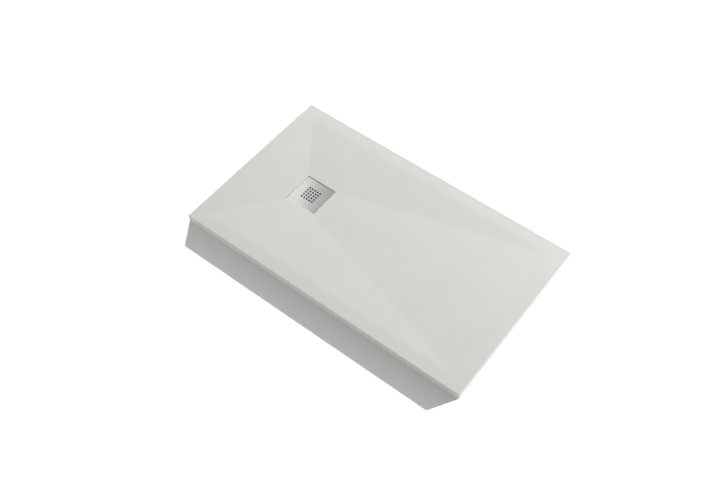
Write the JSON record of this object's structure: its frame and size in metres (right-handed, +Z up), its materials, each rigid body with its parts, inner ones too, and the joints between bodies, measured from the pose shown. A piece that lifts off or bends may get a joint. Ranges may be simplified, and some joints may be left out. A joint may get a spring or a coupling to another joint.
{
  "type": "shower tray",
  "caption": "Low rectangular shower tray with a flat rim and shallow falls to a square perforated metal drain grate near one end, over a flat trap with a lift-out dip tube.",
  "frame": {"origin": "centre of the tray's flat underside", "axes": "+X along the long side, away from the drain end; +Y to the back long side; +Z up, from the underside to the rim"},
  "size_m": [1.2, 0.7, 0.09],
  "materials": {
    "cast_resin": "smooth satin gel coat on a cast of resin and mineral filler",
    "stainless": "satin",
    "brass": "plain machined",
    "rubber": "matte",
    "white_plastic": "moulded, slightly glossy",
    "grey_plastic": "moulded"
  },
  "bodies": {
    "tray": {"tray_slab": "cast_resin", "waste_flange": "stainless", "flange_screws": "stainless", "screw_inserts": "brass", "flange_gasket": "rubber", "tray_gasket": "rubber", "trap_head": "white_plastic", "trap_bowl": "white_plastic", "trap_cup": "white_plastic", "outlet_nut": "white_plastic", "outlet_slip_washer": "grey_plastic", "outlet_seal": "rubber"},
    "grate": {"grate_plate": "stainless", "grate_pads": "rubber"},
    "strainer": {"hair_strainer": "grey_plastic"},
    "dip_tube": {"dip_tube": "grey_plastic", "dip_tube_seal": "rubber"}
  },
  "joints": [
    {"name": "grate_lift", "type": "slide", "parent": "tray", "child": "grate", "axis": [0, 0, 1], "range_m": [0, 0.2]},
    {"name": "strainer_lift", "type": "slide", "parent": "tray", "child": "strainer", "axis": [0, 0, 1], "range_m": [0, 0.14]},
    {"name": "dip_tube_lift", "type": "slide", "parent": "tray", "child": "dip_tube", "axis": [0, 0, 1], "range_m": [0, 0.09]}
  ],
  "couplings": [
    {"joint": "strainer_lift", "follows": "grate_lift", "ratio": 0.7},
    {"joint": "dip_tube_lift", "follows": "grate_lift", "ratio": 0.45}
  ]
}
